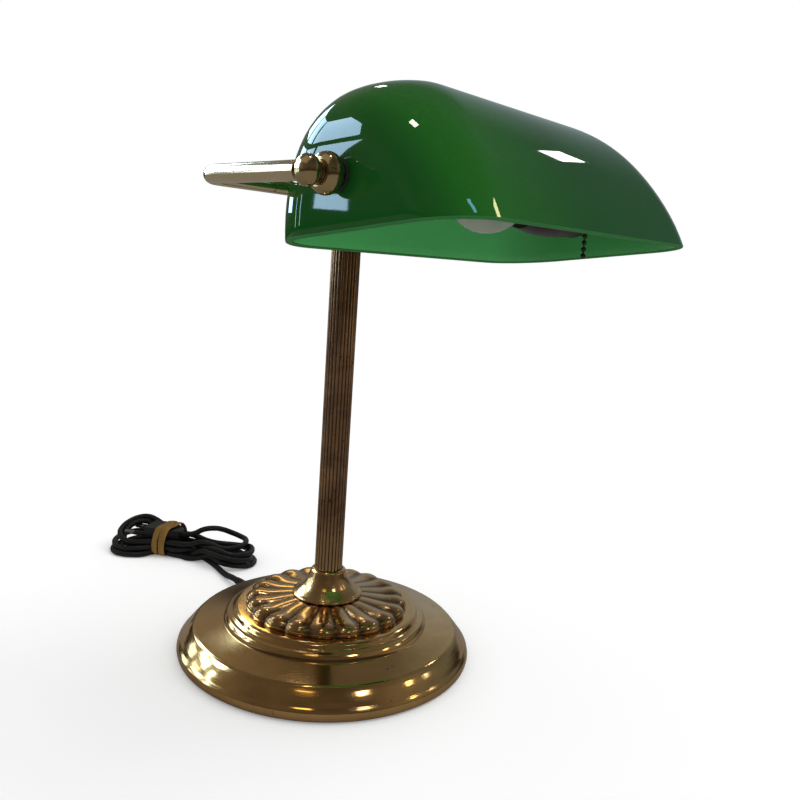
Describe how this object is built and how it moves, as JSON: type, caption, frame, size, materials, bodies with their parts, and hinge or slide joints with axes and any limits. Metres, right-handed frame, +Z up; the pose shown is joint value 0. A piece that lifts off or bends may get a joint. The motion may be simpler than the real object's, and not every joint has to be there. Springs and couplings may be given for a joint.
{
  "type": "banker desk lamp",
  "caption": "Desk lamp with a weighted round base, a reeded column, a U-shaped yoke and a tilting half-round glass shade with a pull-chain switch.",
  "frame": {"origin": "middle of the base on the table", "axes": "+Z up the column, +X along the shade to its switch end, the shade hangs out towards -Y"},
  "size_m": [0.271, 0.4475, 0.3547],
  "materials": {
    "polished_brass": "polished, lacquered",
    "aged_brass": "darkened, satin",
    "green_glass": "glossy, coloured through",
    "opal_glass": "glossy white glass",
    "bakelite": "moulded, dark brown",
    "black_rubber": "matt",
    "zinc_steel": "zinc plated",
    "nickel": "nickel plated",
    "cast_iron": "as cast",
    "felt": "felt",
    "cord_sheath": "smooth sheath",
    "wire_insulation": "smooth",
    "tie_rubber": "natural rubber"
  },
  "bodies": {
    "lamp": {"base_shell": "polished_brass", "base_pad": "felt", "base_weight": "cast_iron", "base_washer": "zinc_steel", "base_nut": "zinc_steel", "gadroon_dome": "polished_brass", "column_collar": "polished_brass", "column_tube": "aged_brass", "threaded_rod": "zinc_steel", "column_head": "polished_brass", "finial": "polished_brass", "head_neck": "polished_brass", "yoke_tee": "polished_brass", "yoke_tube": "polished_brass", "wires": "wire_insulation", "end_ball_left": "polished_brass", "stud_left": "zinc_steel", "lock_nut_left": "zinc_steel", "end_ball_right": "polished_brass", "stud_right": "zinc_steel", "lock_nut_right": "zinc_steel", "holder_cap": "bakelite", "holder_shell": "bakelite", "switch_block": "bakelite", "thread_sleeve": "polished_brass", "centre_contact": "polished_brass", "bulb_cap": "zinc_steel", "bulb_glass": "opal_glass", "chain_spout": "aged_brass", "strain_relief": "black_rubber", "cord_run": "cord_sheath", "cord_hank": "cord_sheath", "hank_tie": "tie_rubber", "plug_body": "cord_sheath", "plug_pin_1": "nickel", "plug_pin_2": "nickel"},
    "shade": {"glass_shade": "green_glass", "outer_washer_left": "black_rubber", "outer_washer_right": "black_rubber", "inner_washer_left": "black_rubber", "inner_washer_right": "black_rubber"},
    "left_knob": {"knob_left": "polished_brass"},
    "right_knob": {"knob_right": "polished_brass"},
    "chain": {"pull_chain": "aged_brass"}
  },
  "joints": [
    {"name": "shade_tilt", "type": "hinge", "parent": "lamp", "child": "shade", "pos_m": [0, -0.1115, 0.303], "axis": [1, 0, 0], "range_deg": [-35, 50]},
    {"name": "left_knob_turn", "type": "hinge", "parent": "lamp", "child": "left_knob", "pos_m": [-0.12, -0.1115, 0.303], "axis": [1, 0, 0], "range_deg": [-360, 0]},
    {"name": "right_knob_turn", "type": "hinge", "parent": "lamp", "child": "right_knob", "pos_m": [0.12, -0.1115, 0.303], "axis": [1, 0, 0], "range_deg": [0, 360]},
    {"name": "chain_pull", "type": "slide", "parent": "lamp", "child": "chain", "axis": [0, 0, -1], "range_m": [0, 0.008], "stiffness_N_per_m": 150}
  ]
}
